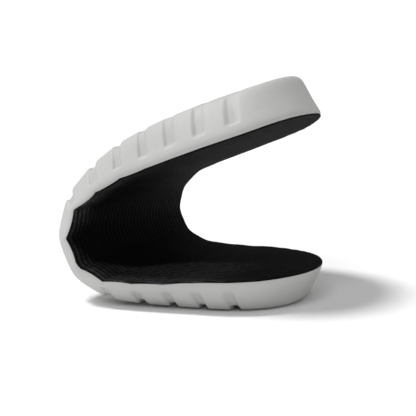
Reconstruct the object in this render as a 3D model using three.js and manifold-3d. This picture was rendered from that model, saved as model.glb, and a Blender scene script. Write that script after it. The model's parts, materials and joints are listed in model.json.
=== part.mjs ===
// Soft back protector: a thick moulded foam pad that bends on its flex grooves, with a thin knit
// liner bonded to its inner (wearer) face. It is folded double, liner on the inside, and lies on
// the outer face of its lower arm. The lower arm runs from its tip towards -X, to the fold, and
// the upper arm comes back towards +X above it. Y is across the pad.
//
// The pad is divided at the middle of each groove into 15 blocks, each with foam and a liner panel:
//   end_lower, rib_01 .. rib_13, end_upper.
// Neighbouring blocks turn about an axis across the pad that lies on the liner's inner surface, so
// folding opens the grooves and unrolling to flat closes them to a thin gap.
//
// Pad coordinates, used for every block before it is placed:
//   X = s, the distance along the liner from the lower tip,
//   Y across the pad,
//   Z outwards from the liner's inner surface.
// Millimetres, +Z up in the finished part.
import * as THREE from "three";
import { mergeVertices } from "three/addons/utils/BufferGeometryUtils.js";
import Module from "manifold-3d";

const { degToRad } = THREE.MathUtils;

// ---------------------------------------------------------------- driving dimensions
const PITCH = 25; // groove to groove, along the liner
const END_LOWER = 52.3; // lower tip to the first groove
const END_UPPER = 44.5; // last groove to the upper tip
const JOINT_GAP = 0.4; // clear gap between neighbouring blocks when the pad is flat
const LINER_THICKNESS = 1.2;
const BOND_GAP = 0.3; // space of the adhesive film between liner and foam
const FOAM_BASE = LINER_THICKNESS + BOND_GAP;
const TIP_THICKNESS = 28.7; // whole pad, at the lower tip
const FACE_TILT = degToRad(2); // the lower arm's inner face drops this much towards the fold

const GROOVE_HALF = 4.6; // half the groove's width
const GROOVE_DEPTH = 4.5; // depth into the outer face and into the side walls
const GROOVE_STOP = 0.22; // share of the foam's thickness, next to the liner, left whole
const PLAIN_JOINTS = [5, 6]; // indices of the two middle flex lines, which have no moulded groove

const EDGE_HEIGHT = 7; // height of the rounding between the side walls and the outer face
const EDGE_WIDTH = 0.75 * EDGE_HEIGHT;
const EDGE_ANGLES_DEG = [0, 30, 60, 90]; // from the side wall to the outer face

// Bend at each groove: lower arm first, then round the fold, then up the upper arm.
const FOLD_DEG = [0, 0, 0, 2.4, 22.8, 41.8, 40.6, 31.9, 16.7, 5.5, 0, 0, 0, 0];

const GROOVES = FOLD_DEG.map((_, i) => END_LOWER + PITCH * i);
const LENGTH = GROOVES.at(-1) + END_UPPER;
const LAST_BLOCK = GROOVES.length;
const BEYOND = 600; // reach of the cutting boxes, well past the pad on every side

// ---------------------------------------------------------------- tables along the pad
// The plan outline: [s, half width].
const HALF_WIDTH = [
  [0, 0], [0.6, 10.2], [2, 18.5], [5, 29], [9, 38.5], [14, 47.2], [20, 55.3], [28, 63.7],
  [36, 70.2], [44, 75.4], [52.3, 79.7], [77.3, 87.6], [102.3, 93.2], [127.3, 98],
  [152.3, 101.4], [177.3, 103], [202.3, 102.6], [227.3, 100.6], [252.3, 97.9],
  [277.3, 95.8], [302.3, 94.6], [327.3, 93], [352.3, 88.8], [377.3, 79.6],
  [385.8, 74.2], [393.8, 67.5], [401.8, 58.9], [407.8, 50.5], [412.8, 41.3],
  [416.8, 31.3], [419.8, 20.1], [421.2, 11.2], [LENGTH, 0],
];

// [s, thickness from the liner's inner surface to the outer face]. Up to the second groove the
// taper cancels the face tilt, so that the outer face lies level. Thinnest round the fold.
const THICKNESS = [
  [0, TIP_THICKNESS],
  [GROOVES[1], TIP_THICKNESS - GROOVES[1] * Math.tan(FACE_TILT)],
  [102.3, 24.9], [127.3, 23], [152.3, 21.6], [177.3, 21.2], [202.3, 21.6], [227.3, 23.6],
  [252.3, 28.4], [277.3, 32.8], [302.3, 36.4], [327.3, 38.6], [352.3, 39.6], [377.3, 39.8],
  [LENGTH, 38.4],
];

// [s, how far the outer face's edge lies inside the liner's edge]: wall draft plus edge rounding.
const INSET = [
  [0, 17], [20, 19], [52.3, 21.5], [77.3, 23], [102.3, 22.5], [127.3, 21], [152.3, 20],
  [177.3, 18.5], [202.3, 18], [227.3, 19.5], [252.3, 19], [277.3, 17], [302.3, 16.5],
  [327.3, 17.5], [352.3, 19], [377.3, 20.5], [401.8, 17], [LENGTH, 13],
];

// Straight-line interpolation in a table, held constant past its ends.
function lookup(table, s) {
  if (s <= table[0][0]) return table[0][1];
  for (let i = 1; i < table.length; i++) {
    const [s0, value0] = table[i - 1];
    const [s1, value1] = table[i];
    if (s <= s1) return value0 + ((value1 - value0) * (s - s0)) / (s1 - s0);
  }
  return table.at(-1)[1];
}
const thickness = (s) => lookup(THICKNESS, s);

// ---------------------------------------------------------------- solids and geometries
const wasm = await Module();
wasm.setup();

function toSolid(geometry) {
  // Only positions may count when vertices are merged.
  geometry.deleteAttribute("normal");
  geometry.deleteAttribute("uv");
  const merged = mergeVertices(geometry, 1e-4);
  return new wasm.Manifold(
    new wasm.Mesh({
      numProp: 3,
      vertProperties: new Float32Array(merged.attributes.position.array),
      triVerts: new Uint32Array(merged.index.array),
    }),
  );
}

function toGeometry(solid) {
  const mesh = solid.getMesh();
  const indexed = new THREE.BufferGeometry();
  indexed.setAttribute("position", new THREE.BufferAttribute(mesh.vertProperties, 3));
  indexed.setIndex(new THREE.BufferAttribute(mesh.triVerts, 1));
  const flatShaded = indexed.toNonIndexed();
  flatShaded.computeVertexNormals();
  return flatShaded;
}

// Everything from x0 to x1, up to the height `top`.
function slab([x0, x1], top = BEYOND) {
  const box = new THREE.BoxGeometry(x1 - x0, 2 * BEYOND, top + BEYOND);
  return toSolid(box.translate((x0 + x1) / 2, 0, (top - BEYOND) / 2));
}

// ---------------------------------------------------------------- rings of the plan outline
// Outward unit normal of the outline's +Y side, from a chord that shortens towards the tips.
function outlineNormal(s) {
  if (s === 0) return new THREE.Vector2(-1, 0);
  if (s === LENGTH) return new THREE.Vector2(1, 0);
  const reach = Math.min(4, s / 2 + 0.2, (LENGTH - s) / 2 + 0.2);
  const rise = lookup(HALF_WIDTH, s + reach) - lookup(HALF_WIDTH, s - reach);
  return new THREE.Vector2(-rise, 2 * reach).normalize();
}

// Stations along the +Y side: the outline's points and the middle of each rib.
const ribMiddles = GROOVES.slice(0, -1).map((s) => s + PITCH / 2);
const SIDE = [...HALF_WIDTH.map(([s]) => s), ...ribMiddles]
  .sort((a, b) => a - b)
  .map((s) => ({ s, y: lookup(HALF_WIDTH, s), normal: outlineNormal(s) }));
const RING_POINTS = 2 * SIDE.length - 2;

// The outline moved inwards by insetAt(s), at height heightAt(x). Both tips are single points.
function ring(insetAt, heightAt) {
  const plusSide = SIDE.map(({ s, y, normal }) => {
    const inset = insetAt(s);
    const x = s - normal.x * inset;
    return [x, Math.max(0, y - normal.y * inset), heightAt(x)];
  });
  const minusSide = plusSide.slice(1, -1).reverse().map(([x, y, z]) => [x, -y, z]);
  return [...plusSide, ...minusSide];
}

// Triangles that close a ring with strips across the pad.
function capTriangles(base, facesUp) {
  const opposite = (i) => (RING_POINTS - i) % RING_POINTS;
  const triangles = [];
  for (let i = 0; i + 1 < SIDE.length; i++) {
    const plus = base + i;
    const nextPlus = plus + 1;
    const minus = base + opposite(i);
    const nextMinus = base + opposite(i + 1);
    if (plus === minus) {
      triangles.push([plus, nextPlus, nextMinus]);
    } else {
      triangles.push([plus, nextPlus, minus]);
      if (nextPlus !== nextMinus) triangles.push([nextPlus, nextMinus, minus]);
    }
  }
  return triangles.flatMap(([p, q, r]) => (facesUp ? [p, r, q] : [p, q, r]));
}

// A closed solid through a stack of rings, lowest first.
function stack(rings) {
  const indices = [];
  for (let level = 0; level + 1 < rings.length; level++) {
    const base = level * RING_POINTS;
    for (let i = 0; i < RING_POINTS; i++) {
      const low = base + i;
      const nextLow = base + ((i + 1) % RING_POINTS);
      const high = low + RING_POINTS;
      const nextHigh = nextLow + RING_POINTS;
      indices.push(low, high, nextLow, nextLow, high, nextHigh);
    }
  }
  indices.push(...capTriangles(0, false));
  indices.push(...capTriangles((rings.length - 1) * RING_POINTS, true));

  const geometry = new THREE.BufferGeometry();
  geometry.setAttribute("position", new THREE.Float32BufferAttribute(rings.flat(2), 3));
  geometry.setIndex(indices);
  return toSolid(geometry);
}

// ---------------------------------------------------------------- whole pad and liner
// The foam, undivided: drafted walls, a rounded outer edge and the outer face. `cut` moves the
// walls and the outer face inwards, but not the base.
function foamPad(cut) {
  const base = ring(() => cut, () => FOAM_BASE);
  const edge = EDGE_ANGLES_DEG.map((degrees) => {
    const angle = degToRad(degrees);
    const beforeFace = EDGE_WIDTH * Math.cos(angle);
    const belowFace = EDGE_HEIGHT * (1 - Math.sin(angle));
    return ring(
      (s) => cut + lookup(INSET, s) - beforeFace,
      (s) => thickness(s) - cut - belowFace,
    );
  });
  return stack([base, ...edge]);
}

const fullPad = foamPad(0);
const grooveCore = foamPad(GROOVE_DEPTH); // what is left at the bottom of the grooves
const linerSheet = stack([ring(() => 0, () => 0), ring(() => 0, () => LINER_THICKNESS)]);

// ---------------------------------------------------------------- blocks
// X range of a block that stops short of the groove at each end by setback(groove index).
// The tip ends are open.
const blockRange = (block, setback) => [
  block === 0 ? -BEYOND : GROOVES[block - 1] + setback(block - 1),
  block === LAST_BLOCK ? BEYOND : GROOVES[block] - setback(block),
];
const jointSetback = () => JOINT_GAP / 2;
const grooveSetback = (groove) => (PLAIN_JOINTS.includes(groove) ? JOINT_GAP / 2 : GROOVE_HALF);

// Full size between its half grooves, core size inside them, and whole next to the liner.
function foamBlock(block) {
  const range = blockRange(block, jointSetback);
  const middle = (Math.max(range[0], 0) + Math.min(range[1], LENGTH)) / 2;
  const footTop = FOAM_BASE + GROOVE_STOP * (thickness(middle) - FOAM_BASE);

  const body = fullPad.intersect(slab(blockRange(block, grooveSetback)));
  const neck = grooveCore.intersect(slab(range));
  const foot = fullPad.intersect(slab(range, footTop));
  return body.add(neck).add(foot);
}

const linerPanel = (block) => linerSheet.intersect(slab(blockRange(block, jointSetback)));

// ---------------------------------------------------------------- materials
const foamMaterial = () =>
  new THREE.MeshStandardMaterial({ color: 0xcfd0cd, roughness: 0.62, metalness: 0 });
const linerMaterial = () =>
  new THREE.MeshStandardMaterial({ color: 0x0d0d0e, roughness: 0.95, metalness: 0 });

// ---------------------------------------------------------------- assembly
function blockLabel(block) {
  if (block === 0) return "end_lower";
  if (block === LAST_BLOCK) return "end_upper";
  return "rib_" + String(block).padStart(2, "0");
}

// A mesh whose origin is at the block's first flex line, or at the lower tip.
function blockMesh(name, solid, start, material) {
  const mesh = new THREE.Mesh(toGeometry(solid).translate(-start, 0, 0), material);
  mesh.name = name;
  return mesh;
}

// A chain of nested groups: one at the lower tip, then one at each flex line.
const part = new THREE.Group();
let parent = part;
for (let block = 0; block <= LAST_BLOCK; block++) {
  const link = new THREE.Group();
  const start = block === 0 ? 0 : GROOVES[block - 1];
  if (block === 0) {
    // The lower arm points towards -X with the foam below the liner.
    link.position.z = TIP_THICKNESS * Math.cos(FACE_TILT);
    link.rotation.y = Math.PI - FACE_TILT;
  } else {
    link.position.x = block === 1 ? END_LOWER : PITCH;
    link.rotation.y = degToRad(FOLD_DEG[block - 1]);
  }
  const label = blockLabel(block);
  link.add(
    blockMesh("foam_" + label, foamBlock(block), start, foamMaterial()),
    blockMesh("liner_" + label, linerPanel(block), start, linerMaterial()),
  );
  parent.add(link);
  parent = link;
}

// Origin midway along the part's extent in X, on the surface it lies on.
part.updateMatrixWorld(true);
const extent = new THREE.Box3().setFromObject(part, true);
part.children[0].position.x -= (extent.min.x + extent.max.x) / 2;

export default part;
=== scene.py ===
import json
import math

import bmesh
import bpy
import numpy as np
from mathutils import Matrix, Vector


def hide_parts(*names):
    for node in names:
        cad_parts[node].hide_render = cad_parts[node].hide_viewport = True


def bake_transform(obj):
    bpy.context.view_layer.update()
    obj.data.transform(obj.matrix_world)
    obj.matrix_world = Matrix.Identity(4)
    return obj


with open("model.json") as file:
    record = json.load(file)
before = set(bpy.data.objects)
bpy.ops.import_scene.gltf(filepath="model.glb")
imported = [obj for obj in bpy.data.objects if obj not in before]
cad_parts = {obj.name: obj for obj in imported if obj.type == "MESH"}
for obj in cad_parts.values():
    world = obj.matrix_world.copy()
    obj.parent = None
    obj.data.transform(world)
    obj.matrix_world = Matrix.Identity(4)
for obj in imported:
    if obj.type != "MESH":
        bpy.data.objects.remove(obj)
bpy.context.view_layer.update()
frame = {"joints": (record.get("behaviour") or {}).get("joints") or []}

# =====================================================================================================================
# Soft back protector, folded double: a moulded foam pad with flex grooves and a bonded ribbed knit liner.
# Everything is laid out on the flat pad first, as (s, y, n) in millimetres: s along the liner from the lower tip,
# y across the pad, n outwards from the liner's inner surface. bend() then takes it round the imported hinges.
# =====================================================================================================================
MM = 0.001
END_LOWER, PITCH, END_UPPER = 52.3, 25.0, 44.5
LENGTH = END_LOWER + 13 * PITCH + END_UPPER
HALF = PITCH / 2

joints = frame["joints"]
H = np.array([[j["pos_m"][0], j["pos_m"][2]] for j in joints]) / MM  # flex lines, lower arm first
NJ = len(H)
S_H = END_LOWER + PITCH * np.arange(NJ)


def unit(v):
    return v / np.linalg.norm(v, axis=-1, keepdims=True)


def perp(t):
    return np.stack([-t[..., 1], t[..., 0]], -1)


T = np.zeros((NJ + 1, 2))  # direction of travel along each block
T[1:NJ] = unit(H[1:] - H[:-1])
T[0], T[NJ] = T[1], T[NJ - 1]
N = perp(T)  # outwards
E = unit(T[:-1] + T[1:])  # bisector at each flex line
B = perp(E)
KAPPA = np.arccos(np.clip((T[:-1] * T[1:]).sum(1), -1, 1))
TIP0 = H[0] - END_LOWER * T[0]
TIP1 = H[-1] + END_UPPER * T[-1]


# ---------------------------------------------------------------- tables along the pad
def natural_spline(xk, yk):
    xk, yk = np.asarray(xk, float), np.asarray(yk, float)
    n = len(xk)
    h = np.diff(xk)
    A = np.eye(n)
    r = np.zeros(n)
    for i in range(1, n - 1):
        A[i, i - 1], A[i, i], A[i, i + 1] = h[i - 1], 2 * (h[i - 1] + h[i]), h[i]
        r[i] = 6 * ((yk[i + 1] - yk[i]) / h[i] - (yk[i] - yk[i - 1]) / h[i - 1])
    m = np.linalg.solve(A, r)

    def f(x):
        x = np.asarray(x, float)
        i = np.clip(np.searchsorted(xk, x) - 1, 0, n - 2)
        a, b = (xk[i + 1] - x) / h[i], (x - xk[i]) / h[i]
        return a * yk[i] + b * yk[i + 1] + ((a**3 - a) * m[i] + (b**3 - b) * m[i + 1]) * h[i] ** 2 / 6

    return f


def soft_table(pts, sigma):
    """A table read by straight lines and then smoothed, so that straight runs stay straight."""
    xs = np.array([p[0] for p in pts], float)
    ys = np.array([p[1] for p in pts], float)
    g = np.arange(-80, LENGTH + 80.5, 0.5)
    v = np.interp(g, xs, ys)
    lo, hi = g < xs[0], g > xs[-1]
    v[lo] = ys[0] + (g[lo] - xs[0]) * (ys[1] - ys[0]) / (xs[1] - xs[0])
    v[hi] = ys[-1] + (g[hi] - xs[-1]) * (ys[-1] - ys[-2]) / (xs[-1] - xs[-2])
    k = np.exp(-0.5 * (np.arange(-60, 61) * 0.5 / sigma) ** 2)
    w = np.convolve(np.pad(v, 60, "reflect", reflect_type="odd"), k / k.sum(), "valid")
    return lambda s: np.interp(s, g, w)


_wk = natural_spline(np.linspace(0, LENGTH, 7), np.array([91.3, 96.0, 110.9, 113.1, 106.0, 117.0, 136.0]) * 0.9015)
RA, RB = 0.185 * LENGTH, 0.356 * LENGTH


def half_width(s):
    s = np.clip(s, 0, LENGTH)
    a = np.where(s < RA, np.sqrt(np.maximum(0, 1 - (1 - s / RA) ** 2)), 1)
    v = LENGTH - s
    b = np.where(v < RB, np.sqrt(np.maximum(0, 1 - (1 - v / RB) ** 2)), 1)
    return _wk(s) * a * b


TIP_T = 28.7
TILT = math.tan(math.radians(2.0))
# thickness over the pad's centre line
thickness = soft_table(
    [(0, TIP_T), (84, TIP_T - 84 * TILT), (102.3, 24.9), (127.3, 23.0), (152.3, 21.6), (177.3, 21.0), (202.3, 21.4),
     (227.3, 22.0), (252.3, 25.4), (277.3, 31.2), (302.3, 36.3), (327.3, 40.0), (352.3, 41.4), (377.3, 40.9),
     (395, 39.4), (LENGTH, 37.4)], 7.0)
# how far the outer face's edge lies inside the liner's edge: draft of the walls plus their rounding
inset = soft_table(
    [(0, 17), (20, 19), (52.3, 21.5), (77.3, 23), (102.3, 22.5), (127.3, 21), (152.3, 20), (177.3, 18.5), (202.3, 18),
     (227.3, 19.5), (252.3, 19), (277.3, 17), (302.3, 16.5), (327.3, 17.5), (352.3, 19), (377.3, 20), (401.8, 15.2),
     (LENGTH, 8.2)], 6.0)
edge_round = soft_table([(0, 9.5), (120, 9), (200, 9.5), (260, 11.5), (377, 13), (402, 9.5), (LENGTH, 7.5)], 8.0)
# how far the outer face drops from the middle to its edges
crown = soft_table([(0, 0.4), (120, 0.8), (190, 1.2), (227, 1.2), (252, 1.0), (277, 1.8), (302, 3.9), (327, 5.8),
                    (352, 6.8), (377, 7.0), (LENGTH, 5.6)], 8.0)
# how much the walls curve over: 1 is a straight draft, more stands upright at the liner and leans in towards the top
lean = soft_table([(0, 1.05), (60, 1.15), (150, 1.2), (230, 1.35), (280, 1.6), (380, 1.7), (405, 1.35), (LENGTH, 1.1)], 8.0)
# how far the foam swells out beside the liner
tuck = soft_table([(0, 0.7), (200, 0.9), (260, 1.5), (400, 1.5), (LENGTH, 0.9)], 8.0)


# ---------------------------------------------------------------- the bend
def smoothstep(x):
    x = np.clip(x, 0, 1)
    return x * x * (3 - 2 * x)


def hermite(p0, d0, p1, d1, u):
    u = u[:, None]
    return (
        (2 * u**3 - 3 * u**2 + 1) * p0
        + (u**3 - 2 * u**2 + u) * d0
        + (-2 * u**3 + 3 * u**2) * p1
        + (u**3 - u**2) * d1
    )


def kink_soft(y):
    """Half length of the rounding of each kink: crisp at the near edge, where the pad is creased, softer elsewhere."""
    return 1.3 + 8.7 * smoothstep((np.asarray(y, float) + 90) / 60)


RHO = thickness(S_H) - 0.45 * HALF * np.tan(KAPPA / 4)  # outer surface's distance from each flex line
LAMBDA = 1 + RHO * KAPPA / PITCH
slope = lambda s: (thickness(s + 0.5) - thickness(s - 0.5)) / 1.0
C = S_H[:-1] + HALF  # middles of the ribs
M_C = (LAMBDA[:-1] + LAMBDA[1:]) / 2


def bend(s, y, n):
    """(s, y, n) on the flat pad -> (x, z) of the folded pad, in mm."""
    s, y, n = np.broadcast_arrays(np.asarray(s, float), np.asarray(y, float), np.asarray(n, float))
    shape = s.shape
    s, y, n = s.ravel(), y.ravel(), n.ravel()
    k = np.clip(np.searchsorted(C, s), 0, NJ - 1)
    x = s - S_H[k]
    h = KAPPA[k] / 2
    w = kink_soft(y)
    ax = np.where(np.abs(x) < w, x * x / (2 * w) + w / 2, np.abs(x))
    P = H[k] + (x * np.cos(h))[:, None] * E[k] - (ax * np.sin(h))[:, None] * B[k]
    t = thickness(s)
    O = np.zeros_like(P)
    for j in range(NJ):
        a, b = S_H[j] - HALF, S_H[j] + HALF
        mid = H[j] + RHO[j] * B[j]
        dmid = LAMBDA[j] * E[j] + slope(S_H[j]) * B[j]
        ma = M_C[j - 1] if j > 0 else 1.0
        mb = M_C[j] if j < NJ - 1 else 1.0
        pa = H[j] - HALF * T[j] + thickness(a) * N[j]
        pb = H[j] + HALF * T[j + 1] + thickness(b) * N[j + 1]
        da = ma * T[j] + slope(a) * N[j]
        db = mb * T[j + 1] + slope(b) * N[j + 1]
        q = (k == j) & (x < 0) & (s >= a)
        if q.any():
            O[q] = hermite(pa, da * HALF, mid, dmid * HALF, (s[q] - a) / HALF)
        q = (k == j) & (x >= 0) & (s <= b)
        if q.any():
            O[q] = hermite(mid, dmid * HALF, pb, db * HALF, x[q] / HALF)
    q = s < S_H[0] - HALF
    O[q] = P[q] + t[q][:, None] * N[0]
    q = s > S_H[-1] + HALF
    O[q] = P[q] + t[q][:, None] * N[-1]
    X = P + (n / t)[:, None] * (O - P)
    return X[:, 0].reshape(shape), X[:, 1].reshape(shape)


# ---------------------------------------------------------------- stations along the pad
# grooves, flex line by flex line: half width of the floor and run of the walls, beside the liner and at the outer face
floor_low = np.array([2.0, 2.0, 2.0, 2.0, 2.0, 0, 0, 2.2, 2.2, 2.2, 2.2, 2.3, 2.3, 2.3])
floor_top = np.array([2.6, 2.6, 2.6, 2.6, 2.4, 0, 0, 2.5, 2.5, 2.5, 2.7, 2.8, 2.8, 2.8])
wall_low = np.array([3.6, 3.6, 3.6, 3.4, 3.2, 1, 1, 2.2, 2.2, 2.4, 3.0, 3.3, 3.3, 3.3])
wall_top = np.array([2.1, 2.1, 2.1, 2.1, 2.1, 1, 1, 1.5, 1.5, 1.7, 2.0, 2.2, 2.2, 2.2])
depth_low = np.array([3.9, 3.9, 3.9, 3.8, 3.8, 0, 0, 4.4, 3.7, 3.3, 3.1, 3.2, 3.2, 3.2])
depth_top = np.array([2.6, 2.6, 2.6, 2.6, 2.7, 0, 0, 2.8, 2.2, 1.7, 1.5, 1.6, 1.6, 1.6])
depth_face = np.array([5.2, 5.2, 5.2, 5.1, 5.0, 0, 0, 5.6, 3.8, 2.5, 1.3, 0.8, 0.7, 0.7])
face_mid_depth = np.array([3.4, 3.4, 3.4, 3.2, 2.8, 0, 0, 3.0, 2.4, 2.0, 1.5, 1.1, 1.0, 1.0])


def stations(near, near_step, far_step, seam=0.06):
    s = set()
    th = np.linspace(0, math.acos(1 - 40 / RA), 46)
    s |= set(np.round(RA * (1 - np.cos(th)), 4))
    th = np.linspace(0, math.acos(1 - 38 / RB), 46)
    s |= set(np.round(LENGTH - RB * (1 - np.cos(th)), 4))
    g = 40.0
    while g < LENGTH - 38:
        s.add(round(g, 4))
        d = np.abs(S_H - g).min()
        g += near_step if d < near else far_step
    s = np.array(sorted(s))
    fixed = np.concatenate([C, C - seam, C + seam, S_H])
    keep = np.abs(s[:, None] - np.concatenate([C, S_H])[None, :]).min(1) > 0.3
    s = np.unique(np.concatenate([s[keep], fixed, [0.0, LENGTH]]))
    return s


def plan_normal(s):
    d = 1e-3
    y = half_width(s)
    e = np.minimum(d, np.minimum(s, LENGTH - s))
    dy = half_width(s + e) - half_width(s - e)
    nx, ny = -dy, 2 * e
    l = np.hypot(nx, ny)
    nx, ny = np.where(l > 0, nx / np.maximum(l, 1e-12), 0), np.where(l > 0, ny / np.maximum(l, 1e-12), 1)
    nx, ny = np.where(s < 1e-6, -1, nx), np.where(s < 1e-6, 0, ny)
    nx, ny = np.where(s > LENGTH - 1e-6, 1, nx), np.where(s > LENGTH - 1e-6, 0, ny)
    return y, nx, ny


LINER = 1.2
FOAM_BASE = 1.15
S = stations(7.6, 0.55, 1.25)
y_edge, nx, ny = plan_normal(S)
WALL, ROUND, FACE, INNER = 34, 12, 44, 8


def foam_rings():
    """Grid [station, ring position] of (s, y, n): near wall, rounding, outer face, rounding, far wall, inner face."""
    sin_ = S - nx * inset(S)
    tt = thickness(np.clip(sin_, 0, LENGTH))
    r = edge_round(S)
    tot = inset(S)
    ye = np.maximum(0, y_edge - ny * tot)
    span = np.maximum(60, ye)
    top = tt - crown(S) * (ye / span) ** 2
    fall_off = 2 * crown(S) * ye / span**2
    qc = tot - 0.42 * r  # corner of wall and face, before rounding
    nc = top - fall_off * 0.42 * r
    lw = np.hypot(qc, nc - FOAM_BASE)
    cut = np.minimum(0.6, 0.95 * r / lw)  # share of the wall taken by the rounding
    q0, n0 = qc * (1 - cut), FOAM_BASE + (nc - FOAM_BASE) * (1 - cut)
    for _ in range(12):  # the end of the wall, from where the rounding leaves it tangentially
        sl = lean(S) * q0 / (n0 - FOAM_BASE)
        q0, n0 = qc - cut * lw * sl / np.hypot(1, sl), nc - cut * lw / np.hypot(1, sl)
    body = np.minimum(1, y_edge / 30)
    cols = []
    # near wall, from the liner up: drafted, with the slightest belly
    f = np.linspace(0, 1, WALL)
    for u in f:
        n = FOAM_BASE + (n0 - FOAM_BASE) * u
        z = (n - FOAM_BASE) / 5.0
        q = q0 * u ** lean(S) - tuck(S) * body * z * np.exp(1 - z) * (1 - smoothstep(u))
        cols.append((S - nx * q, -(y_edge - ny * q), n))
    for i in range(1, ROUND + 1):
        a = i / ROUND
        w0, w1, w2 = (1 - a) ** 2, 2 * a * (1 - a), a * a
        q = w0 * q0 + w1 * qc + w2 * tot
        n = w0 * n0 + w1 * nc + w2 * top
        cols.append((S - nx * q, -(y_edge - ny * q), n))
    half = [(c[0].copy(), np.minimum(c[1], 0), c[2].copy()) for c in cols]
    grid = list(half)
    for i in range(1, FACE):
        v = -1 + 2 * i / FACE
        y = ye * v
        grid.append((sin_.copy(), y, tt - crown(S) * (y / span) ** 2))
    for c in reversed(half):
        grid.append((c[0], -c[1], c[2]))
    for i in range(1, INNER):
        v = 1 - 2 * i / INNER
        grid.append((S.copy(), y_edge * v, np.full_like(S, FOAM_BASE)))
    G = np.stack([np.stack(c, -1) for c in grid], 1)  # [M, R, 3]
    return G


G = foam_rings()
M, R = G.shape[:2]
OUTER = 2 * (WALL + ROUND) + FACE - 1  # ring positions of the visible outside
# arc length along the ring from the nearer liner edge
seg = np.linalg.norm(np.diff(G[:, :OUTER, 1:], axis=1), axis=2)
arc = np.concatenate([np.zeros((M, 1)), np.cumsum(seg, 1)], 1)
arc = np.minimum(arc, arc[:, -1:] - arc)
# normals of the section, in (y, n)
dy = np.gradient(G[:, :OUTER, 1], axis=1)
dn = np.gradient(G[:, :OUTER, 2], axis=1)
ln = np.maximum(np.hypot(dy, dn), 1e-9)
sec_y, sec_n = -dn / ln, dy / ln
groove_mask = np.zeros((M, R))
full = arc[:, WALL + ROUND - 1][:, None]  # from the liner to the start of the face
up = np.clip(arc / full, 0, 1)
side = np.sign(G[:, :OUTER, 1])
# the walls' grooves are cut straight in, the face's grooves straight down
mixw = smoothstep((up - 0.55) / 0.4)
dir_y = -(1 - mixw) * side - mixw * sec_y
dir_n = -mixw * sec_n
dl = np.maximum(np.hypot(dir_y, dir_n), 1e-6)
dir_y, dir_n = dir_y / dl, dir_n / dl
for j in range(NJ):
    if depth_low[j] == 0:
        continue
    x = G[:, :OUTER, 0] - S_H[j]
    rise = smoothstep((up - 0.4) / 0.6)
    g_floor = floor_low[j] + (floor_top[j] - floor_low[j]) * rise
    g_wall = wall_low[j] + (wall_top[j] - wall_low[j]) * rise
    if j > 6:  # on the upper arm the wall towards the end runs out softly
        x = np.where(x > g_floor, g_floor + (x - g_floor) / 1.7, x)
    x = np.abs(x)
    steep = 1.3 if j > 6 else 0.9
    a1 = 0.20 * full + (floor_low[j] + wall_low[j]) / steep
    e = np.maximum(0, a1 - arc) * steep
    d = (x**2.8 + e**2.8) ** (1 / 2.8)
    g = 1 - smoothstep(np.clip((d - g_floor) / g_wall, 0, 1) ** 0.7)
    deep = depth_low[j] + (depth_top[j] - depth_low[j]) * smoothstep((up - 0.2) / 0.7)
    deep = deep + (depth_face[j] - deep) * smoothstep((up - 0.8) / 0.2)
    past = smoothstep((arc - full) / 16)
    deep = deep * (1 - past) + face_mid_depth[j] * past
    G[:, :OUTER, 1] += deep * g * dir_y
    G[:, :OUTER, 2] += deep * g * dir_n
    groove_mask[:, :OUTER] = np.maximum(groove_mask[:, :OUTER], g)

# faint hand-made unevenness of soft foam: low swells, well under half a millimetre
sw = (
    0.22 * np.sin(G[..., 0] * 0.061 + 1.3 * np.sin(G[..., 1] * 0.031 + 0.5))
    + 0.16 * np.sin(G[..., 1] * 0.083 + 1.1 * np.sin(G[..., 0] * 0.043 + 2.1))
)
ring_pos = np.arange(R)
on_wall = np.zeros(R)
on_wall[:WALL] = np.sin(np.pi * np.arange(WALL) / (WALL - 1)) ** 2
on_wall[OUTER - WALL : OUTER] = on_wall[:WALL][::-1]
G[:, :OUTER, 1] += (sw[:, :OUTER] * on_wall[None, :OUTER]) * sec_y * np.minimum(1, y_edge / 40)[:, None]


# the inside bulges a little between the flex lines, more where the pad is bent harder
def pucker(s, y):
    s, y = np.broadcast_arrays(np.asarray(s, float), np.asarray(y, float))
    near = smoothstep((-y - 52) / 34)
    u = (s - S_H[0]) / PITCH
    k = np.clip(np.floor(u).astype(int), 0, NJ - 2)
    f = np.clip(u - k, 0, 1)
    bent = (KAPPA[k] + KAPPA[k + 1]) / 2
    live = (s > S_H[0]) & (s < S_H[-1])
    size = np.where(k < 10, 0.42, 0.12) + 1.9 * bent
    size = size * (0.25 + 0.75 * near)
    out = np.where(live, size * np.sin(np.pi * f) ** 0.8, 0.0)
    # the hardest bend of the lower arm has a double crease at the near edge
    x = s - S_H[5]
    twin = near * np.where(np.abs(x) < 4.2, 1.35 * np.cos(np.pi * x / 8.4) ** 2, 0)
    return out + twin


def lift(s, y):
    """Slow rise of the inner surface above the flex lines' plane (mm, inwards)."""
    s, y = np.broadcast_arrays(np.asarray(s, float), np.asarray(y, float))
    near = smoothstep((-y - 40) / 40)
    low = (0.9 + 0.85 * np.maximum(near, 1 - smoothstep((s - 10) / 50))) * (1 - smoothstep((s - 74) / 28))
    up = 0.8 * smoothstep((s - 258) / 18) - 2.2 * smoothstep((s - 378) / 44)
    corner = 2.3 * near * np.exp(-(((s - 252) / 17) ** 2))
    return low + up + corner


def inner_shift(s, y):
    return pucker(s, y) + lift(s, y)


def to_world(G):
    s = G[..., 0]
    e = np.clip((s - S_H[-1]) / END_UPPER, 0, 1)
    x, z = bend(s - 2.4 * e * e, G[..., 1], G[..., 2])
    return np.stack([x, G[..., 1], z], -1) * MM


# the bulge lifts the part of the wall next to the liner towards the inside of the bend
fall = np.exp(-np.maximum(0, G[..., 2] - FOAM_BASE) / 4.5)
GP = G.copy()
GP[..., 2] -= pucker(G[..., 0], G[..., 1]) * fall + lift(G[..., 0], G[..., 1]) * np.exp(
    -np.maximum(0, G[..., 2] - FOAM_BASE) / 9.0
)
foam_xyz = to_world(GP)


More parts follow.
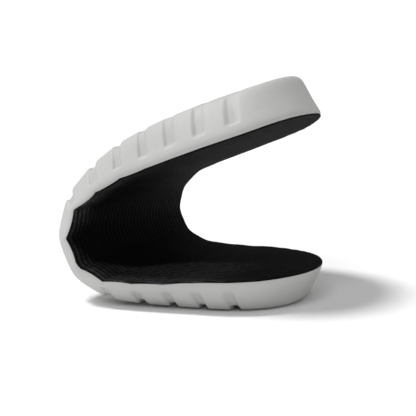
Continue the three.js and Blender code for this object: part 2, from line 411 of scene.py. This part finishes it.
def make_mesh(name, xyz, flat, faces, sharp_pairs, masks, flat_faces=0, weld=False):
    me = bpy.data.meshes.new(name)
    me.from_pydata([tuple(p) for p in xyz], [], faces)
    me.update()
    me.polygons.foreach_set("use_smooth", np.ones(len(me.polygons), bool))
    if flat_faces:
        for p in me.polygons[len(me.polygons) - flat_faces :]:
            p.use_smooth = False
    a = me.attributes.new("flat_mm", "FLOAT_VECTOR", "POINT")
    a.data.foreach_set("vector", flat.astype(np.float32).ravel())
    for key, val in masks.items():
        a = me.attributes.new(key, "FLOAT", "POINT")
        a.data.foreach_set("value", val.astype(np.float32).ravel())
    if sharp_pairs:
        want = {tuple(sorted(p)) for p in sharp_pairs}
        ev = np.zeros(len(me.edges) * 2, int)
        me.edges.foreach_get("vertices", ev)
        ev = np.sort(ev.reshape(-1, 2), 1)
        flags = np.array([tuple(e) in want for e in ev.tolist()], bool)
        sh = me.attributes.get("sharp_edge") or me.attributes.new("sharp_edge", "BOOLEAN", "EDGE")
        sh.data.foreach_set("value", flags)
    if weld:
        bm = bmesh.new()
        bm.from_mesh(me)
        bmesh.ops.remove_doubles(bm, verts=bm.verts, dist=2e-6)
        bmesh.ops.dissolve_degenerate(bm, edges=bm.edges, dist=1e-7)
        bm.to_mesh(me)
        bm.free()
    me.update()
    ob = bpy.data.objects.new(name, me)
    bpy.context.scene.collection.objects.link(ob)
    return ob


def slice_grid(name, xyz, flat, ia, ib, sharp_rows, masks, material, weld):
    """The closed piece between stations ia and ib of a grid whose rings are closed."""
    R = xyz.shape[1]
    m = ib - ia + 1
    V = xyz[ia : ib + 1].reshape(-1, 3)
    F = flat[ia : ib + 1].reshape(-1, 3)
    i = np.arange(m - 1)[:, None]
    j = np.arange(R)[None, :]
    j2 = (j + 1) % R
    quads = np.stack([i * R + j, (i + 1) * R + j, (i + 1) * R + j2, i * R + j2], -1).reshape(-1, 4)
    faces = quads.tolist()
    caps = 0
    if ia > 0:
        faces.append(list(range(R)))
        caps += 1
    if ib < xyz.shape[0] - 1:
        faces.append([(m - 1) * R + q for q in range(R)][::-1])
        caps += 1
    sharp = []
    for r in sharp_rows:
        sharp += [(q * R + r, (q + 1) * R + r) for q in range(m - 1)]
    mk = {k: v[ia : ib + 1].reshape(-1) for k, v in masks.items()}
    ob = make_mesh(name, V, F, faces, sharp, mk, flat_faces=caps, weld=weld)
    ob.data.materials.append(material)
    return ob


# =====================================================================================================================
# materials
# =====================================================================================================================
def new_material(name):
    m = bpy.data.materials.new(name)
    m.use_nodes = True
    nt = m.node_tree
    nt.nodes.clear()
    out = nt.nodes.new("ShaderNodeOutputMaterial")
    bsdf = nt.nodes.new("ShaderNodeBsdfPrincipled")
    nt.links.new(bsdf.outputs[0], out.inputs[0])
    return m, nt, bsdf


def node(nt, kind, **kw):
    n = nt.nodes.new(kind)
    for k, v in kw.items():
        if k == "inputs":
            for a, b in v.items():
                n.inputs[a].default_value = b
        else:
            setattr(n, k, v)
    return n


def math_node(nt, op, a, b=None, c=None, clamp=False):
    n = nt.nodes.new("ShaderNodeMath")
    n.operation = op
    n.use_clamp = clamp
    for i, v in enumerate((a, b, c)):
        if v is None:
            continue
        if isinstance(v, (int, float)):
            n.inputs[i].default_value = v
        else:
            nt.links.new(v, n.inputs[i])
    return n.outputs[0]


def attr(nt, name):
    n = nt.nodes.new("ShaderNodeAttribute")
    n.attribute_name = name
    return n


def noise(nt, vec, scale, detail=2.0, rough=0.5, dist=0.0):
    n = nt.nodes.new("ShaderNodeTexNoise")
    n.inputs["Scale"].default_value = scale
    n.inputs["Detail"].default_value = detail
    n.inputs["Roughness"].default_value = rough
    n.inputs["Distortion"].default_value = dist
    nt.links.new(vec, n.inputs["Vector"])
    return n.outputs["Fac"]


def ramp(nt, fac, stops):
    n = nt.nodes.new("ShaderNodeValToRGB")
    el = n.color_ramp.elements
    while len(el) < len(stops):
        el.new(0.5)
    for e, (p, c) in zip(el, stops):
        e.position = p
        e.color = (*c, 1) if len(c) == 3 else c
    nt.links.new(fac, n.inputs[0])
    return n.outputs[0]


def mix_color(nt, fac, a, b, blend="MIX"):
    n = nt.nodes.new("ShaderNodeMix")
    n.data_type = "RGBA"
    n.blend_type = blend
    for sock, v in ((n.inputs[0], fac), (n.inputs[6], a), (n.inputs[7], b)):
        if isinstance(v, (int, float)):
            sock.default_value = v
        elif isinstance(v, tuple):
            sock.default_value = (*v, 1) if len(v) == 3 else v
        else:
            nt.links.new(v, sock)
    return n.outputs[2]


def bump(nt, height, strength, distance, normal=None):
    n = nt.nodes.new("ShaderNodeBump")
    n.inputs["Strength"].default_value = strength
    n.inputs["Distance"].default_value = distance
    nt.links.new(height, n.inputs["Height"])
    if normal is not None:
        nt.links.new(normal, n.inputs["Normal"])
    return n.outputs[0]


def foam_material():
    m, nt, bsdf = new_material("moulded_foam")
    flat = attr(nt, "flat_mm").outputs["Vector"]
    groove = attr(nt, "groove").outputs["Fac"]
    # colour: off-white, with a slow mottle, a faint fine speckle and painted shade in the grooves, most in their
    # floors
    slow = noise(nt, flat, 0.018, 3.0, 0.55)
    fine = noise(nt, flat, 1.1, 3.0, 0.6)
    col = ramp(nt, slow, [(0.30, (0.492, 0.494, 0.483)), (0.72, (0.532, 0.534, 0.525))])
    col = mix_color(nt, math_node(nt, "MULTIPLY", fine, 0.10), col, (0.476, 0.476, 0.462), "MIX")
    # painted shade: the groove mask, broken up by noise, darkens the foam in the grooves
    groove_painted_shade = math_node(nt, "MULTIPLY", groove, noise(nt, flat, 0.12, 2.0, 0.5))
    col = mix_color(nt, math_node(nt, "MULTIPLY", groove_painted_shade, 0.22), col, (0.43, 0.425, 0.41), "MIX")
    nt.links.new(col, bsdf.inputs["Base Color"])
    bsdf.inputs["Roughness"].default_value = 0.56
    bsdf.inputs["Specular IOR Level"].default_value = 0.35
    bsdf.inputs["Sheen Weight"].default_value = 0.06
    bsdf.inputs["Sheen Roughness"].default_value = 0.5
    # moulded skin: pebbled grain of about half a millimetre, plus pinholes and slow waviness
    grain = noise(nt, flat, 1.9, 2.0, 0.55)
    vor = nt.nodes.new("ShaderNodeTexVoronoi")
    vor.feature = "F1"
    vor.inputs["Scale"].default_value = 0.55
    nt.links.new(flat, vor.inputs["Vector"])
    pin = math_node(nt, "LESS_THAN", vor.outputs["Distance"], 0.10)
    h = math_node(nt, "SUBTRACT", grain, math_node(nt, "MULTIPLY", pin, 0.5))
    nrm = bump(nt, h, 0.22, 0.00025)
    nrm = bump(nt, noise(nt, flat, 0.16, 2.0, 0.5), 0.25, 0.0012, nrm)
    nt.links.new(nrm, bsdf.inputs["Normal"])
    return m


YARN = 0.0048  # albedo of the black yarn


def ease(nt, v, a, b):
    """0 at a, 1 at b, smooth between; a may be the larger."""
    n = nt.nodes.new("ShaderNodeMapRange")
    n.interpolation_type = "SMOOTHSTEP"
    nt.links.new(v, n.inputs[0])
    lo, hi = (a, b) if a < b else (b, a)
    n.inputs[1].default_value = lo
    n.inputs[2].default_value = hi
    n.inputs[3].default_value = 0.0 if a < b else 1.0
    n.inputs[4].default_value = 1.0 if a < b else 0.0
    return n.outputs[0]


def fade(nt, v, to):
    """1 where v is 0, `to` where v is 1."""
    return math_node(nt, "MULTIPLY_ADD", v, to - 1.0, 1.0)


def liner_material():
    m, nt, bsdf = new_material("ribbed_knit")
    flat = attr(nt, "flat_mm").outputs["Vector"]
    rib = attr(nt, "rib").outputs["Fac"]
    sep = nt.nodes.new("ShaderNodeSeparateXYZ")
    nt.links.new(flat, sep.inputs[0])
    s_, y_ = sep.outputs[0], sep.outputs[1]
    # knit loops: small V stitches along the ribs, 1.05 mm wide and 0.8 mm long
    wale = math_node(nt, "FRACT", math_node(nt, "DIVIDE", y_, 1.05))
    tri = math_node(nt, "ABSOLUTE", math_node(nt, "SUBTRACT", wale, 0.5))
    course = math_node(nt, "ADD", math_node(nt, "DIVIDE", s_, 0.8), math_node(nt, "MULTIPLY", tri, 1.6))
    loop = math_node(nt, "MULTIPLY_ADD", math_node(nt, "SINE", math_node(nt, "MULTIPLY", course, 2 * math.pi)), 0.5, 0.5)
    across = math_node(nt, "SUBTRACT", 1.0, math_node(nt, "POWER", math_node(nt, "MULTIPLY", tri, 2.0), 3.0))
    stitch = math_node(nt, "MULTIPLY", loop, across)
    fuzz = noise(nt, flat, 3.0, 3.0, 0.6)
    slow = noise(nt, flat, 0.03, 2.0, 0.5)
    # black yarn: painted highlight on the crests of the ribs and painted shade in their valleys, lighter at random
    # where the nap stands up; further down, painted shade makes it blackest in the hollow of the fold
    tone = math_node(nt, "MULTIPLY_ADD", math_node(nt, "POWER", rib, 1.6), 2.5, 0.30)
    tone = math_node(nt, "MULTIPLY", tone, math_node(nt, "MULTIPLY_ADD", stitch, 0.8, 0.6))
    streak = nt.nodes.new("ShaderNodeVectorMath")
    streak.operation = "MULTIPLY"
    streak.inputs[1].default_value = (1.0, 0.22, 1.0)
    nt.links.new(flat, streak.inputs[0])
    nap = noise(nt, streak.outputs[0], 0.40, 3.0, 0.65)
    tone = math_node(nt, "MULTIPLY", tone, math_node(nt, "MULTIPLY_ADD", nap, 3.4, -0.75, clamp=False))
    tone = math_node(nt, "MULTIPLY", tone, math_node(nt, "MULTIPLY_ADD", slow, 0.6, 0.7))
    # painted light and shadow on the lower arm: the edge of the upper arm's painted shadow runs along yb(s); off = y -
    # yb(s)
    off = math_node(nt, "ADD", y_, math_node(nt, "MULTIPLY_ADD", ease(nt, s_, 105, 205), 100.0, -1.0))
    # painted light: a pool of light on the lower arm on the near side of the painted shadow's edge, a little weaker
    # right at the near edge
    painted_lit_side = ease(nt, off, 5, -10)
    lit = math_node(nt, "MULTIPLY", math_node(nt, "MULTIPLY", ease(nt, s_, 40, 85), ease(nt, s_, 225, 195)), painted_lit_side)
    painted_light_gain = math_node(nt, "MULTIPLY_ADD", ease(nt, y_, -50, -82), -1.8, 3.9)
    tone = math_node(nt, "MULTIPLY", tone, math_node(nt, "MULTIPLY_ADD", lit, painted_light_gain, 1.0))
    # painted light on the far part of the lower arm towards its tip
    back = math_node(nt, "MULTIPLY", ease(nt, s_, 150, 110), ease(nt, y_, 30, 85))
    tone = math_node(nt, "MULTIPLY", tone, fade(nt, back, 1.9))
    far = ease(nt, y_, 95, 60)
    # painted shadow of the upper arm on the lower arm, beyond the edge at yb(s) and clear of the far edge
    upper_arm_painted_shadow = math_node(nt, "MULTIPLY", ease(nt, s_, 100, 125), ease(nt, s_, 225, 205))
    upper_arm_painted_shadow = math_node(nt, "MULTIPLY", math_node(nt, "MULTIPLY", upper_arm_painted_shadow, ease(nt, off, -12, 8)), far)
    tone = math_node(nt, "MULTIPLY", tone, fade(nt, upper_arm_painted_shadow, 0.2))
    # painted shade in the hollow of the fold, clear of the near and far edges
    hollow = math_node(nt, "MULTIPLY", ease(nt, s_, 205, 225), ease(nt, s_, 290, 245))
    inner = math_node(nt, "MULTIPLY", hollow, math_node(nt, "MULTIPLY", ease(nt, y_, -88, -62), far))
    tone = math_node(nt, "MULTIPLY", tone, fade(nt, inner, 0.25))
    # painted light along the near edge of the fold and the upper arm
    near_edge_painted_light = math_node(nt, "MULTIPLY", math_node(nt, "MULTIPLY", ease(nt, s_, 185, 215), ease(nt, s_, 310, 270)), ease(nt, y_, -66, -92))
    tone = math_node(nt, "MULTIPLY", tone, fade(nt, near_edge_painted_light, 3.8))
    # painted shade on the far half of the upper arm
    tone = math_node(nt, "MULTIPLY", tone, fade(nt, math_node(nt, "MULTIPLY", ease(nt, s_, 280, 310), ease(nt, y_, 0, 50)), 0.5))
    tone = math_node(nt, "MULTIPLY", tone, YARN)
    comb = nt.nodes.new("ShaderNodeCombineColor")
    nt.links.new(tone, comb.inputs[0])
    nt.links.new(tone, comb.inputs[1])
    nt.links.new(math_node(nt, "MULTIPLY", tone, 1.03), comb.inputs[2])
    col = comb.outputs[0]
    nt.links.new(col, bsdf.inputs["Base Color"])
    bsdf.inputs["Roughness"].default_value = 0.72
    bsdf.inputs["Specular IOR Level"].default_value = 0.06
    bsdf.inputs["Sheen Weight"].default_value = 0.004
    bsdf.inputs["Sheen Roughness"].default_value = 0.45
    bsdf.inputs["Sheen Tint"].default_value = (0.75, 0.77, 0.8, 1)
    h = math_node(nt, "ADD", math_node(nt, "MULTIPLY", stitch, 0.8), math_node(nt, "MULTIPLY", fuzz, 0.35))
    nt.links.new(bump(nt, h, 0.6, 0.00035), bsdf.inputs["Normal"])
    return m


MAT_FOAM = foam_material()
MAT_LINER = liner_material()

# =====================================================================================================================
# liner grid: a ribbed knit sheet, ribs along the pad, creased at the bends
# =====================================================================================================================
RIB = 6.15
ACROSS = 360
SL = stations(5.0, 0.5, 2.2)
yl, nxl, nyl = plan_normal(SL)


def liner_rings():
    v = np.linspace(-1, 1, ACROSS + 1)
    v = np.sign(v) * (1 - (1 - np.abs(v)) ** 1.0)
    y = (yl[:, None] - 0.15 * (yl[:, None] > 0.2)) * v[None, :]
    s = np.repeat(SL[:, None], ACROSS + 1, 1)
    edge = yl[:, None] - np.abs(y)  # distance to the pad's edge
    ph = np.cos(np.pi * y / RIB) ** 2
    ribs = ph**0.7
    rib_amp = 0.50 * smoothstep(edge / 2.5)
    n = -rib_amp * ribs
    # rolled-down trimmed edge
    n = n + 0.55 * (1 - smoothstep(edge / 1.4))
    n = n - inner_shift(s, y)
    top = np.stack([s, y, n], -1)
    low = []
    for q in (1.0, 0.5, 0.0, -0.5, -1.0):
        low.append(np.stack([SL, (yl - 0.15 * (yl > 0.2)) * q, np.full_like(SL, LINER - 0.1)], -1))
    low = np.stack(low, 1)
    # pucker the underside too, so that the sheet keeps its thickness
    low[..., 2] -= inner_shift(low[..., 0], low[..., 1])
    return np.concatenate([top[:, ::-1], low[:, ::-1]], 1), ribs


GL, ribs = liner_rings()
rib_mask = np.zeros(GL.shape[:2])
rib_mask[:, : ACROSS + 1] = ribs[:, ::-1]
liner_xyz = to_world(GL)

# =====================================================================================================================
# foam pieces: one from rib middle to rib middle, each bending across one flex line
# =====================================================================================================================
cad_foam = ["foam_end_lower"] + [f"foam_rib_{i:02d}" for i in range(1, NJ)] + ["foam_end_upper"]
cad_liner = ["liner_end_lower"] + [f"liner_rib_{i:02d}" for i in range(1, NJ)] + ["liner_end_upper"]


def index_of(grid_s, s):
    return int(np.argmin(np.abs(grid_s - s)))


def free_run(j):
    """How far each way from flex line j the pad is clear of the edges shared with the neighbouring pieces (mm)."""
    lo, hi = [-HALF], [HALF]
    for xyz, grid_s in ((foam_xyz, S), (liner_xyz, SL)):
        if j > 0:
            lo.append(((xyz[index_of(grid_s, C[j - 1])][:, [0, 2]] / MM - H[j]) @ E[j]).max())
        if j < NJ - 1:
            hi.append(((xyz[index_of(grid_s, C[j])][:, [0, 2]] / MM - H[j]) @ E[j]).min())
    return max(lo), min(hi)


def blend_zone(ob, j):
    """Works out the pad's free run each way from flex line j (not used further) and bakes the piece's transform into
    its mesh.
    """
    lo, hi = free_run(j)
    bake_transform(ob)


for j in range(NJ):
    ia = 0 if j == 0 else index_of(S, C[j - 1])
    ib = M - 1 if j == NJ - 1 else index_of(S, C[j])
    ob = slice_grid(
        f"foam_pad_{j + 1:02d}", foam_xyz, G, ia, ib, (0, OUTER - 1), {"groove": groove_mask}, MAT_FOAM,
        weld=j in (0, NJ - 1),
    )
    blend_zone(ob, j)
    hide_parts(*([cad_foam[j]] + ([cad_foam[NJ]] if j == NJ - 1 else [])))

# =====================================================================================================================
# liner pieces, cut at the same places as the foam
# =====================================================================================================================
for j in range(NJ):
    ia = 0 if j == 0 else index_of(SL, C[j - 1])
    ib = len(SL) - 1 if j == NJ - 1 else index_of(SL, C[j])
    ob = slice_grid(
        f"knit_liner_{j + 1:02d}", liner_xyz, GL, ia, ib, (0, ACROSS, ACROSS + 1, ACROSS + 5), {"rib": rib_mask}, MAT_LINER,
        weld=j in (0, NJ - 1),
    )
    blend_zone(ob, j)
    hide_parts(*([cad_liner[j]] + ([cad_liner[NJ]] if j == NJ - 1 else [])))

# =====================================================================================================================
# floor, light, camera
# =====================================================================================================================
FLOOR_Z = -0.0003


def floor():
    me = bpy.data.meshes.new("floor")
    r, n = 6.0, 96
    v = [(0, 0, FLOOR_Z)] + [(r * math.cos(2 * math.pi * i / n), r * math.sin(2 * math.pi * i / n), FLOOR_Z) for i in range(n)]
    me.from_pydata(v, [], [(0, 1 + i, 1 + (i + 1) % n) for i in range(n)])
    ob = bpy.data.objects.new("floor", me)
    bpy.context.scene.collection.objects.link(ob)
    m, nt, bsdf = new_material("pale_floor")
    bsdf.inputs["Base Color"].default_value = (0.95, 0.95, 0.95, 1)
    bsdf.inputs["Roughness"].default_value = 0.9
    bsdf.inputs["Specular IOR Level"].default_value = 0.1
    me.materials.append(m)


floor()


def sun(name, toward, angle, power):
    l = bpy.data.lights.new(name, "SUN")
    l.angle = math.radians(angle)
    l.energy = power
    ob = bpy.data.objects.new(name, l)
    bpy.context.scene.collection.objects.link(ob)
    ob.rotation_euler = Vector(toward).to_track_quat("Z", "Y").to_euler()
    return ob


TARGET = Vector(((H[0][0] - 51.626) * MM, 0, (H[0][1] + 47.94) * MM))
sun("key", (-0.42, -0.24, 1.0), 14, 2.2)
sun("front", (-0.05, -0.92, 1.0), 20, 0.38)

world = bpy.data.worlds.new("studio")
bpy.context.scene.world = world
world.use_nodes = True
wn = world.node_tree
wn.nodes.clear()
wo = wn.nodes.new("ShaderNodeOutputWorld")
bg_light = wn.nodes.new("ShaderNodeBackground")
tc = wn.nodes.new("ShaderNodeTexCoord")
sx = wn.nodes.new("ShaderNodeSeparateXYZ")
wn.links.new(tc.outputs["Generated"], sx.inputs[0])
gx = math_node(wn, "MULTIPLY_ADD", sx.outputs[0], -0.05, 1.0)
gx = math_node(wn, "MULTIPLY_ADD", sx.outputs[2], 0.8, gx)
cx = wn.nodes.new("ShaderNodeCombineColor")
for i in range(3):
    wn.links.new(gx, cx.inputs[i])
wn.links.new(cx.outputs[0], bg_light.inputs[0])
bg_light.inputs[1].default_value = 0.28
bg_seen = wn.nodes.new("ShaderNodeBackground")
bg_seen.inputs[0].default_value = (1, 1, 1, 1)
bg_seen.inputs[1].default_value = 1.1
lp = wn.nodes.new("ShaderNodeLightPath")
mx = wn.nodes.new("ShaderNodeMixShader")
wn.links.new(lp.outputs["Is Camera Ray"], mx.inputs[0])
wn.links.new(bg_light.outputs[0], mx.inputs[1])
wn.links.new(bg_seen.outputs[0], mx.inputs[2])
wn.links.new(mx.outputs[0], wo.inputs[0])

AZ, EL, DIST, LENS = math.radians(25.165), math.radians(7.878), 721.2 * MM, 69.23
cam_data = bpy.data.cameras.new("camera")
cam_data.sensor_fit = "HORIZONTAL"
cam_data.sensor_width = 36
cam_data.lens = LENS
cam_data.clip_start = 0.01
cam = bpy.data.objects.new("camera", cam_data)
bpy.context.scene.collection.objects.link(cam)
cam.location = TARGET + DIST * Vector((math.sin(AZ) * math.cos(EL), -math.cos(AZ) * math.cos(EL), math.sin(EL)))
cam.rotation_euler = (TARGET - cam.location).to_track_quat("-Z", "Y").to_euler()
bpy.context.scene.camera = cam

vs = bpy.context.scene.view_settings
vs.view_transform = "Standard"
vs.look = "None"
vs.exposure = 0.0
vs.gamma = 1.0

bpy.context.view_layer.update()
